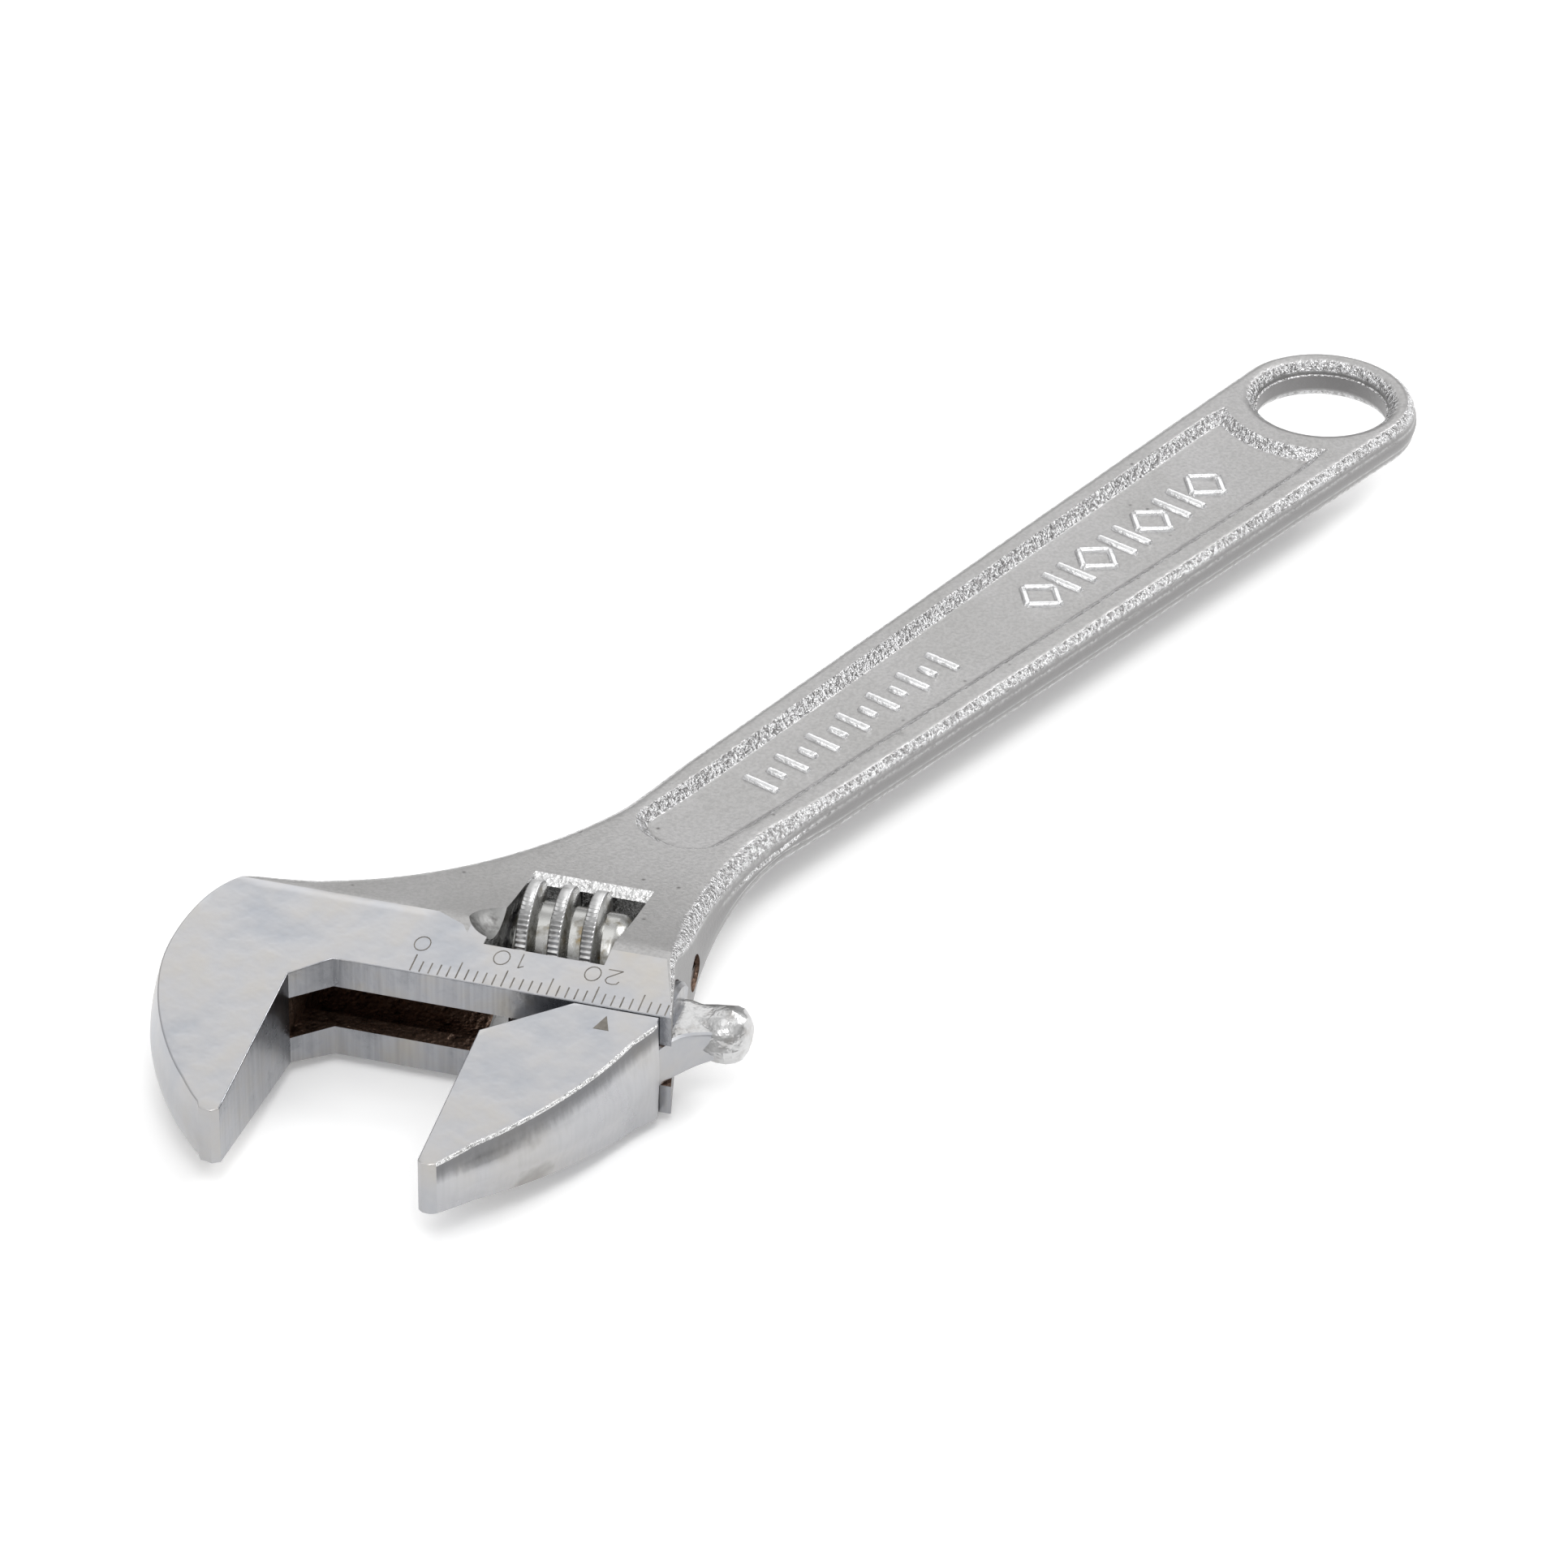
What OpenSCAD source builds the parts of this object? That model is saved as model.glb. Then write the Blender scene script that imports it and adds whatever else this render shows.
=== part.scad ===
// Adjustable wrench of the 200 mm size, with a hanging hole and a scale on the head.
// The origin is the centre of the hanging hole at mid-thickness. +X runs up the handle to
// the head, +Y is the movable jaw's side and +Z leaves the face that carries the scale.
// The head is drawn in jaw coordinates: u runs from the fixed jaw to the movable jaw,
// v runs from the throat back to the handle, and both start at the zero of the scale.

/* [Handle] */
// Radius of the rounded tail
tail_r = 11.4; // [11:0.1:11.6]
// Radius of the hanging hole
hang_r = 7.75; // [7:0.05:8.2]
// Bevel around both rims of the hanging hole
hang_bevel = 0.8; // [0.4:0.1:1.2]
// Half width of the handle at the neck
neck_half_w = 8.7; // [8.4:0.1:9]
// Distance from the hanging hole to the neck
neck_x = 117; // [114:0.5:119]
// Half thickness of the handle
handle_half_t = 2.55; // [2.4:0.05:2.8]

/* [Panel] */
// Depth of the panel sunk in each face of the handle
panel_depth = 1.1; // [0.6:0.1:1.4]
// Half width of the panel at its tail end
panel_tail_half_w = 7; // [6.5:0.1:7.4]
// Half width of the panel at its head end
panel_head_half_w = 4.7; // [4.4:0.1:5]
// Distance from the hanging hole to the panel's head end
panel_end_x = 123.3; // [118:0.1:125]

/* [Head] */
// Distance along the handle to the zero of the scale
zero_x = 162.95; // [160:0.05:165]
// Angle between the jaws and the handle
jaw_tilt = 23; // [22:0.5:23.5]
// Half thickness of the head at the throat
throat_half_t = 6.2; // [6:0.1:6.5]
// Half thickness lost per millimetre from the throat to the jaw tips
face_taper = 0.11; // [0.09:0.01:0.12]
// Jaw opening as drawn
opening = 22.1; // [22.1:0.1:22.1]
// Position of the fixed jaw's face
fixed_face_u = -12.2; // [-12.4:0.1:-12]

/* [Worm and rack] */
// Distance between the rack's teeth
pitch = 3.6; // [3.5:0.05:3.7]
// Outer radius of the knurled worm
worm_r = 7; // [6.9:0.05:7.05]
// Distance from the throat to the worm's axis
worm_v = 16.9; // [16.8:0.05:17]
// Distance from the throat to the rack's axis
rack_v = 6.7; // [6.6:0.05:6.8]
// Radius of the rack
rack_r = 5; // [4.9:0.05:5.05]
// Radius of the pin that the worm turns on
pin_r = 2; // [1.8:0.05:2.1]

/* [Hidden] */
$fn = 64;
slack = 0.1;
reach = 60;

zero_y = -1.52;
head_turn = 90 + jaw_tilt;
moving_face_u = fixed_face_u + opening;
tip_v = -25.6;
chamfer_u = 3.8;
chamfer_v = 3.4;

bore_r = rack_r + slack;
bore_start_u = fixed_face_u - 0.4;
slot_start_u = fixed_face_u - 0.25;
web_half_t = 2.5;
panel_hollow_r = 12.4;
web_start_u = moving_face_u + 1.1;
web_end_u = 26.8;
rack_start_u = moving_face_u + 0.3;
rack_end_u = 27.5;
nub_end_u = 35.5;
nub_r = 3.25;
nub_v = rack_v + rack_r - nub_r - 0.05;
nub_round = 1.2;

window_start_u = 6.2;
window_end_u = 19.5;
window_start_v = 6.2;
window_end_v = 23;
worm_room_r = worm_r + 0.3;
pin_start_u = 2;
pin_end_u = 25.7;
pin_slot_w = 0.8;
scoop_u = 7.5;
scoop_v = 11.2;
scoop_z = 9.9;
scoop_r = 5;

worm_gap = 0.3;
worm_start_u = window_start_u + worm_gap;
worm_end_u = window_end_u - worm_gap;
worm_bore_r = pin_r + 0.08;
root_r = 4.9;
hub_r = 4.1;
crest_half_w = 0.6;
root_half_w = 1.15;
mesh_u = 12.55;
thread_start_u = 8.2;
thread_end_u = 16.8;
cup_r = 3.4;
cup_depth = 4.2;
steps_per_turn = 28;

spring_r = 2.75;
wire_r = 0.25;
spring_turns = 4;

steel = "#b9b9b8";
ground_steel = "#c9c9c9";
bright_steel = "#d6d6d6";
dark_steel = "#8f8f90";

// A point on the cubic curve with end points a, d and handles b, c
function curve_pt(a, b, c, d, t) =
    pow(1 - t, 3) * a + 3 * pow(1 - t, 2) * t * b + 3 * (1 - t) * t * t * c + pow(t, 3) * d;

// The curve's points, without its last one
function curve(a, b, c, d, n = 10) = [for (i = [0 : n - 1]) curve_pt(a, b, c, d, i / n)];

// Jaw coordinates to part coordinates, in the plane of the wrench
function from_jaw(p) = [
    zero_x + cos(head_turn) * p.x - sin(head_turn) * p.y,
    zero_y + sin(head_turn) * p.x + cos(head_turn) * p.y
];

function all_from_jaw(points) = [for (p = points) from_jaw(p)];

// Half thickness of the ground faces at a distance v from the throat
function face_half_t(v) = throat_half_t + face_taper * v;

module in_jaw_frame() {
    translate([zero_x, zero_y, 0]) rotate([0, 0, head_turn]) children();
}

// Turns a solid made around Z so that its axis lies along u at distance v from the throat
module along_u(v) {
    translate([0, v, 0]) rotate([90, 0, 90]) children();
}

// Slab whose half thickness changes along v, from a list of [v, half thickness]
module head_slab(profile) {
    lower = [for (i = [len(profile) - 1 : -1 : 0]) [profile[i].x, -profile[i].y]];
    translate([-reach, 0, 0]) rotate([90, 0, 90]) linear_extrude(2 * reach)
        polygon(concat(profile, lower));
}

// The same along X, for the handle
module handle_slab(profile) {
    lower = [for (i = [len(profile) - 1 : -1 : 0]) [profile[i].x, -profile[i].y]];
    rotate([90, 0, 0]) linear_extrude(2 * reach, center = true)
        polygon(concat(profile, lower));
}

// Outline of the forging, seen on its face
function body_outline() = concat(
    [for (a = [90 : 10 : 270]) tail_r * [cos(a), sin(a)]],
    curve([4, -tail_r + 0.1], [40, -tail_r + 0.7], [80, -9.6], [neck_x, -neck_half_w]),
    curve([neck_x, -neck_half_w], [neck_x + 12, -neck_half_w + 0.3],
        from_jaw([-5.5, 17]), from_jaw([-20.4, 12.6])),
    all_from_jaw(curve([-20.4, 12.6], [-25.4, 10.4], [-27, 4.5], [-27, -1.5])),
    all_from_jaw(curve([-27, -1.5], [-27, -10.5], [-20.3, -21.5], [-14.4, tip_v + 0.2])),
    all_from_jaw([
        [-14.4, tip_v + 0.2],
        [-13, tip_v],
        [fixed_face_u, tip_v + 0.6],
        [fixed_face_u, -chamfer_v],
        [fixed_face_u + chamfer_u, 0],
        [28.7, 0],
        [26.5, 8.9]
    ]),
    curve(from_jaw([26.4, 16]), from_jaw([25.4, 28]), [neck_x + 2, neck_half_w - 0.1],
        [neck_x - 7, neck_half_w + 0.2]),
    curve([neck_x - 7, neck_half_w + 0.2], [76, 9.8], [40, tail_r - 0.7], [4, tail_r - 0.1])
);

// Outline of the sunk panel: hollowed round the hanging hole, rounded at the head end
function panel_outline() = concat(
    [for (a = [36 : -6 : -36]) panel_hollow_r * [cos(a), sin(a)]],
    curve([12, -panel_tail_half_w], [50, -panel_tail_half_w + 0.3],
        [80, -panel_head_half_w - 1], [panel_end_x - 4, -panel_head_half_w]),
    curve([panel_end_x - 4, -panel_head_half_w], [panel_end_x, -panel_head_half_w],
        [panel_end_x, panel_head_half_w], [panel_end_x - 4, panel_head_half_w]),
    curve([panel_end_x - 4, panel_head_half_w], [80, panel_head_half_w + 1],
        [50, panel_tail_half_w - 0.3], [12, panel_tail_half_w])
);

function handle_profile(sunk) = [[-15, handle_half_t - sunk], [145, handle_half_t - sunk]];

// Half thickness of the head as [v, half thickness], from the jaw tips to the neck
function head_profile(sunk) = [
    [tip_v - 2, face_half_t(tip_v - 2) - sunk],
    [10, face_half_t(10) - sunk],
    [14, 6.3 - sunk],
    [18, 5.5 - sunk],
    [22, 4.8 - sunk],
    [27, 4.1 - sunk],
    [32, 3.5 - sunk],
    [38, 3 - sunk],
    [46, 2.6 - sunk],
    [62, 2.2 - sunk]
];

// Everything within the faces of the wrench, or of the same faces sunk by some depth
module within_faces(sunk = 0) {
    handle_slab(handle_profile(sunk));
    in_jaw_frame() head_slab(head_profile(sunk));
}

// One pocket on the upper face, mirrored for the lower one
module panel_pocket() {
    difference() {
        linear_extrude(reach) polygon(panel_outline());
        within_faces(panel_depth);
    }
}

module hanging_hole() {
    cylinder(h = reach, r = hang_r, center = true);
    for (side = [0, 1]) mirror([0, 0, side])
        translate([0, 0, handle_half_t - hang_bevel])
            cylinder(h = 2 * hang_bevel, r1 = hang_r, r2 = hang_r + 2 * hang_bevel);
}

// Bore, slot and window that the jaw's rack and the worm run in, and the thumb scoops
module head_cuts() {
    translate([bore_start_u, 0, 0]) along_u(rack_v) cylinder(h = reach, r = bore_r);
    translate([slot_start_u, -chamfer_v - slack, -web_half_t - slack])
        cube([reach, rack_v + chamfer_v + slack, 2 * (web_half_t + slack)]);
    translate([window_start_u, window_start_v, -reach / 2])
        cube([window_end_u - window_start_u, window_end_v - window_start_v, reach]);
    translate([window_start_u, 0, 0]) along_u(worm_v)
        cylinder(h = window_end_u - window_start_u, r = worm_room_r);
    translate([pin_start_u - slack, 0, 0]) along_u(worm_v) cylinder(h = reach, r = pin_r + 0.05);
    for (side = [-1, 1]) translate([scoop_u, scoop_v, side * scoop_z]) sphere(r = scoop_r);
}

// The forging: handle, head and fixed jaw
module body() {
    color(steel) difference() {
        intersection() {
            linear_extrude(2 * reach, center = true) polygon(body_outline());
            within_faces();
        }
        hanging_hole();
        panel_pocket();
        mirror([0, 0, 1]) panel_pocket();
        in_jaw_frame() head_cuts();
    }
}

// Outline of the part of the movable jaw that stands above the throat
function jaw_outline() = concat(
    curve([12, -27.3], [17.9, -22.7], [26.2, -11.2], [27.8, -1.2]),
    [
        [27.4, -0.15],
        [18.2, -0.15],
        [moving_face_u, -6.7],
        [moving_face_u, -27],
        [moving_face_u + 0.5, -27.5],
        [moving_face_u + 1.3, -27.6]
    ]
);

// One groove of the rack, cut a little wider than the worm's thread and turned to its lead
module rack_groove() {
    lead_angle = atan(pitch / (2 * PI) / (worm_r - 0.6));
    play = 0.25;
    translate([0, worm_v, 0]) rotate([0, 90 - lead_angle, 0]) rotate_extrude() polygon([
        [0, -root_half_w - play],
        [root_r, -root_half_w - play],
        [worm_r + play, -crest_half_w - play],
        [worm_r + play, crest_half_w + play],
        [root_r, root_half_w + play],
        [0, root_half_w + play]
    ]);
}

// Movable jaw with its web and the rack that runs in the head's bore
module movable_jaw() {
    color(ground_steel) in_jaw_frame() {
        intersection() {
            linear_extrude(2 * reach, center = true) polygon(jaw_outline());
            head_slab([[-30, face_half_t(-30)], [2, face_half_t(2)]]);
        }
        translate([0, 0, -web_half_t]) linear_extrude(2 * web_half_t) polygon([
            [web_start_u, -6],
            [web_start_u + 2, -6],
            [web_start_u + 8, -1],
            [web_end_u, -1],
            [web_end_u, rack_v],
            [web_start_u, rack_v]
        ]);
        difference() {
            union() {
                translate([rack_start_u, 0, 0]) along_u(rack_v)
                    cylinder(h = rack_end_u - rack_start_u, r = rack_r);
                translate([rack_end_u, 0, 0]) along_u(nub_v)
                    cylinder(h = nub_end_u - rack_end_u - nub_round, r = nub_r);
                translate([nub_end_u - nub_round, 0, 0]) along_u(nub_v)
                    cylinder(h = nub_round, r1 = nub_r, r2 = nub_r - nub_round);
            }
            for (i = [-1 : 7]) translate([mesh_u + i * pitch, 0, 0]) rack_groove();
        }
    }
}

// Height of the thread: it rises from the root at each end over a sixth of a turn
function crest_r(u) =
    root_r + (worm_r - root_r) * min(1, (u - thread_start_u + 0.1) / (pitch / 6),
        (thread_end_u + 0.1 - u) / (pitch / 6));

// Right-handed thread on the u axis, as rings of four points
module worm_thread() {
    count = floor((thread_end_u - thread_start_u) / pitch * steps_per_turn);
    inner_r = root_r - 0.4;
    rings = [for (i = [0 : count])
        let (u = thread_start_u + i * pitch / steps_per_turn)
        let (angle = (u - mesh_u) / pitch * 360 + 180)
        for (q = [[-root_half_w, inner_r], [root_half_w, inner_r],
                [crest_half_w, crest_r(u)], [-crest_half_w, crest_r(u)]])
            [u + q.x, q.y * cos(angle), q.y * sin(angle)]
    ];
    sides = [for (i = [0 : count - 1]) for (j = [0 : 3])
        [4 * i + j, 4 * i + 4 + j, 4 * i + 4 + (j + 1) % 4, 4 * i + (j + 1) % 4]
    ];
    last = 4 * count;
    translate([0, worm_v, 0])
        polyhedron(rings, concat([[0, 1, 2, 3]], sides, [[last + 3, last + 2, last + 1, last]]));
}

// Knurled worm: threaded barrel with a coned hub at each end, bored for the pin
module worm() {
    color(bright_steel) in_jaw_frame() difference() {
        union() {
            along_u(worm_v) rotate_extrude() polygon([
                [0, worm_start_u],
                [hub_r, worm_start_u],
                [root_r, worm_start_u + 0.7],
                [root_r, worm_end_u - 1.5],
                [hub_r, worm_end_u],
                [0, worm_end_u]
            ]);
            worm_thread();
        }
        translate([worm_start_u - 1, 0, 0]) along_u(worm_v) cylinder(h = reach, r = worm_bore_r);
        translate([worm_start_u - 1, 0, 0]) along_u(worm_v) cylinder(h = cup_depth + 1, r = cup_r);
    }
}

// Pin that the worm turns on, entered from the movable jaw's side
module worm_pin() {
    color(dark_steel) in_jaw_frame() difference() {
        translate([pin_start_u, 0, 0]) along_u(worm_v) cylinder(h = pin_end_u - pin_start_u, r = pin_r);
        translate([pin_end_u - pin_slot_w, worm_v - worm_r, -pin_slot_w / 2])
            cube([2 * pin_slot_w, 2 * worm_r, pin_slot_w]);
    }
}

// Coil spring in the worm's cup, round the pin
module worm_spring() {
    wire_sides = 6;
    wire_steps = 20;
    start_u = window_start_u + wire_r + 0.05;
    end_u = worm_start_u + cup_depth - wire_r - 0.1;
    count = spring_turns * wire_steps;
    rings = [for (i = [0 : count])
        let (angle = i * 360 / wire_steps)
        let (u = start_u + (end_u - start_u) * i / count)
        for (j = [0 : wire_sides - 1])
            let (turn = j * 360 / wire_sides)
            let (r = spring_r + wire_r * cos(turn))
            [u + wire_r * sin(turn), r * cos(angle), r * sin(angle)]
    ];
    sides = [for (i = [0 : count - 1]) for (j = [0 : wire_sides - 1])
        let (a = wire_sides * i + j)
        let (b = wire_sides * i + (j + 1) % wire_sides)
        [a, b, b + wire_sides, a + wire_sides]
    ];
    first_ring = [for (j = [wire_sides - 1 : -1 : 0]) j];
    last_ring = [for (j = [0 : wire_sides - 1]) wire_sides * count + j];
    color(dark_steel) in_jaw_frame() translate([0, worm_v, 0])
        polyhedron(rings, concat([first_ring], sides, [last_ring]));
}

body();
movable_jaw();
worm();
worm_pin();
worm_spring();
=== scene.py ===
import math

import bmesh
import bpy
from mathutils import Matrix, Vector, noise


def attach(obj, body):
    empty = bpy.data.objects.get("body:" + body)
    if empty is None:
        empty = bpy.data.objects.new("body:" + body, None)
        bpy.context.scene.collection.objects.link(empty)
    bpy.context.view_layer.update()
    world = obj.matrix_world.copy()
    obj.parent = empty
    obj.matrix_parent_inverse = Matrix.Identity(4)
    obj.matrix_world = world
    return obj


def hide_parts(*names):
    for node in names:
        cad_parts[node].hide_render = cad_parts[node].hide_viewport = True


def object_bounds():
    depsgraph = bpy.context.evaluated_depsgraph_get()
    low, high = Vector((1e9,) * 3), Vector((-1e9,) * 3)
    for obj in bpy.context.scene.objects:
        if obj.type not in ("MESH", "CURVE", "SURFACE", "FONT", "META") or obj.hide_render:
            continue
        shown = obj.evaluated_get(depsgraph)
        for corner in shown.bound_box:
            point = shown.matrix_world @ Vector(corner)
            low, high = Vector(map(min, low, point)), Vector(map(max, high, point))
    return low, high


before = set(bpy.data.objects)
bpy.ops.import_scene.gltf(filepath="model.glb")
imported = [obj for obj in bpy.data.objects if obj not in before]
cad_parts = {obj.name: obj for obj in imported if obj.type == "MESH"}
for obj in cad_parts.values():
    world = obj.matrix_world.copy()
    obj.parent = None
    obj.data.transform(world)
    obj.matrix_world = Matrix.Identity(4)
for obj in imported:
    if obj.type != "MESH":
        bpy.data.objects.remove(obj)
cadBox = [list(corner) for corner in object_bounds()]
print("frame loaded:", sorted(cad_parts))

# Shapes are worked out in millimetres and each finished mesh is scaled to metres.
# Jaw coordinates: u runs from the fixed jaw to the sliding jaw, v from the throat to the handle.
headTurn = 113  # degrees from the handle's axis to u
jawPlace = Matrix.Translation((162.95, -1.52, 0)) @ Matrix.Rotation(math.radians(headTurn), 4, "Z")
jawPlaceBack = jawPlace.inverted()
alongU = Matrix.Rotation(math.radians(90), 4, "Y")  # a solid made around Z then lies along u
throat = {"halfT": 6.2, "taper": 0.11, "ridgeV": 10.0, "backT": 1.95, "fall": 17.5}
handle = {"halfT": 2.55, "neckHalfW": 8.7, "neckX": 117.0, "tailR": 11.4, "holeR": 7.75, "blend": 0.02}
panelDepth = 1.12
rackLook = {"pitch": 3.6, "meshU": 12.55, "wormV": 16.9, "wormR": 7.0, "rackV": 6.7, "startU": 10.2,
            "endU": 27.5, "rackR": 5.0, "chamfer": 0.4, "grooves": range(-1, 8)}
onForged, onGround, onMilled, onEdge, onSide = range(5)  # places in a piece's list of materials


def jawPoint(u, v, z=0.0):
    return jawPlace @ Vector((u, v, z))


def arc(radius, angles):
    turns = [math.radians(angle) for angle in angles]
    return [Vector((radius * math.cos(turn), radius * math.sin(turn), 0)) for turn in turns]


def curve(a, b, c, d, steps):
    a, b, c, d = (Vector((p[0], p[1], 0)) for p in (a, b, c, d))
    points = []
    for i in range(steps):  # the last point is left for the next stretch
        t = i / steps
        points.append((1 - t) ** 3 * a + 3 * (1 - t) ** 2 * t * b + 3 * (1 - t) * t * t * c + t ** 3 * d)
    return points


def line(a, b, steps):
    a, b = Vector((a[0], a[1], 0)), Vector((b[0], b[1], 0))
    return [a.lerp(b, i / steps) for i in range(steps)]


def jawCurve(a, b, c, d, steps):
    return [jawPlace @ p for p in curve(a, b, c, d, steps)]


def jawLine(a, b, steps):
    return [jawPlace @ p for p in line(a, b, steps)]


def groundHalfT(v):
    return throat["halfT"] + throat["taper"] * v


def faceHalfT(point):
    # half thickness of the forging at a point seen on its face
    v = (jawPlaceBack @ point).y
    head = groundHalfT(v)
    if v > throat["ridgeV"]:
        drop = groundHalfT(throat["ridgeV"]) - throat["backT"]
        head = throat["backT"] + drop * math.exp((throat["ridgeV"] - v) / throat["fall"])
    gap = head - handle["halfT"]
    return handle["halfT"] + 0.5 * (gap + math.sqrt(gap * gap + handle["blend"]))


def outwards(points):
    # direction at each corner of a counterclockwise outline that keeps an offset even
    directions = []
    for i, point in enumerate(points):
        before = (point - points[i - 1]).normalized()
        after = (points[(i + 1) % len(points)] - point).normalized()
        first, second = Vector((before.y, -before.x, 0)), Vector((after.y, -after.x, 0))
        middle = (first + second).normalized()
        directions.append(middle / max(middle.dot(first), 0.5))
    return directions


def evened(values, reach):
    n = len(values)
    return [sum(values[(i + k) % n] for k in range(-reach, reach + 1)) / (2 * reach + 1) for i in range(n)]


def loft(bm, count, rings, ringPoint, ringFinish=None):
    # rings of count vertices, each extruded from the one before; returns the last ring's edges
    place = bm.verts.layers.int.new("place")
    bm.faces.layers.int.new("cap")
    verts = [bm.verts.new(ringPoint(i, 0)) for i in range(count)]
    for i, vert in enumerate(verts):
        vert[place] = i
    edges = [bm.edges.new((verts[i], verts[(i + 1) % count])) for i in range(count)]
    first = list(edges)
    for k in range(1, rings):
        made = bmesh.ops.extrude_edge_only(bm, edges=edges)["geom"]
        fresh = {g for g in made if isinstance(g, bmesh.types.BMVert)}
        for vert in fresh:
            vert.co = ringPoint(vert[place], k)
        if ringFinish:
            for face in (g for g in made if isinstance(g, bmesh.types.BMFace)):
                places = [v[place] for v in face.verts]
                low = min(places) if max(places) - min(places) < count - 1 else count - 1
                face.material_index = ringFinish(low, k)
        edges = [g for g in made if isinstance(g, bmesh.types.BMEdge) and all(v in fresh for v in g.verts)]
    return first, edges


def capEnds(bm, *loops):
    faces = []
    for loop in loops:
        faces += bmesh.ops.edgeloop_fill(bm, edges=loop)["faces"]
    return faces


def cutAcross(bm, faces, point, normal):
    # cuts the faces along a plane and returns them with the new ones
    mark = bm.faces.layers.int["cap"]
    for face in bm.faces:
        face[mark] = 0
    for face in faces:
        face[mark] = 1
    geom = list(faces) + list({e for f in faces for e in f.edges}) + list({v for f in faces for v in f.verts})
    bmesh.ops.bisect_plane(bm, geom=geom, dist=0.0005, plane_co=point, plane_no=normal)
    return [f for f in bm.faces if f[mark] == 1]


def finished(name, bm, materials, sharpAngle=35.0, scale=0.001):
    # the mesh comes in millimetres, or in metres when the scale is 1
    mergeWithin = 0.0004 * min(1.0, 0.001 / scale)
    bmesh.ops.remove_doubles(bm, verts=bm.verts, dist=mergeWithin)
    bmesh.ops.recalc_face_normals(bm, faces=bm.faces)
    bmesh.ops.scale(bm, vec=(scale,) * 3, verts=bm.verts)
    mesh = bpy.data.meshes.new(name)
    bm.to_mesh(mesh)
    bm.free()
    mesh.shade_smooth()
    mesh.set_sharp_from_angle(angle=math.radians(sharpAngle))
    obj = bpy.data.objects.new(name, mesh)
    bpy.context.scene.collection.objects.link(obj)
    for item in materials:
        mesh.materials.append(item)
    return obj


def applied(obj):
    made = bpy.data.meshes.new_from_object(obj.evaluated_get(bpy.context.evaluated_depsgraph_get()))
    obj.modifiers.clear()
    old, obj.data = obj.data, made
    bpy.data.meshes.remove(old)
    obj.data.name = obj.name


def carved(obj, tools, operation="DIFFERENCE"):
    # one exact Boolean for each tool, applied, with the tool's own finish on the cut
    for tool in tools:
        step = obj.modifiers.new("cut", "BOOLEAN")
        step.operation, step.object, step.solver = operation, tool, "EXACT"
        step.material_mode = "TRANSFER"
    applied(obj)
    for tool in tools:
        bpy.data.objects.remove(tool)
    return obj


def evenNormals(obj, sharpAngle):
    # sharp edges are found again after cutting, and big flat faces set the normals at their rims
    obj.data.shade_smooth()
    obj.data.set_sharp_from_angle(angle=math.radians(sharpAngle))
    step = obj.modifiers.new("normals", "WEIGHTED_NORMAL")
    step.keep_sharp, step.weight, step.mode = True, 60, "FACE_AREA"
    applied(obj)
    return obj


def linear(colour):
    parts = [int(colour[i:i + 2], 16) / 255 for i in (1, 3, 5)]
    return tuple(p / 12.92 if p <= 0.04045 else ((p + 0.055) / 1.055) ** 2.4 for p in parts) + (1.0,)


def addNode(tree, kind, settings=None, links=None):
    # "stops" sets a colour ramp, as pairs of a position and a grey or a hex colour
    node = tree.nodes.new("ShaderNode" + kind)
    for key, value in (settings or {}).items():
        if key == "stops":
            marks = node.color_ramp.elements
            while len(marks) < len(value):
                marks.new(0.5)
            for mark, (position, colour) in zip(marks, value):
                mark.position = position
                mark.color = linear(colour) if isinstance(colour, str) else (colour,) * 3 + (1.0,)
        elif isinstance(key, str) and hasattr(node, key):
            setattr(node, key, value)
        else:
            node.inputs[key].default_value = value
    for key, source in (links or {}).items():
        tree.links.new(source, node.inputs[key])
    return node


multiply = {"data_type": "RGBA", "blend_type": "MULTIPLY", 0: 1.0}  # a Mix node that multiplies two colours


def newMaterial(name, colour, roughness):
    made = bpy.data.materials.new(name)
    made.use_nodes = True
    made.diffuse_color = linear(colour)
    tree = made.node_tree
    shader = tree.nodes["Principled BSDF"]
    shader.inputs["Metallic"].default_value = 1.0
    shader.inputs["Base Color"].default_value = linear(colour)
    shader.inputs["Roughness"].default_value = roughness
    place = addNode(tree, "TexCoord").outputs["Object"]
    return made, tree, shader, place


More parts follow.
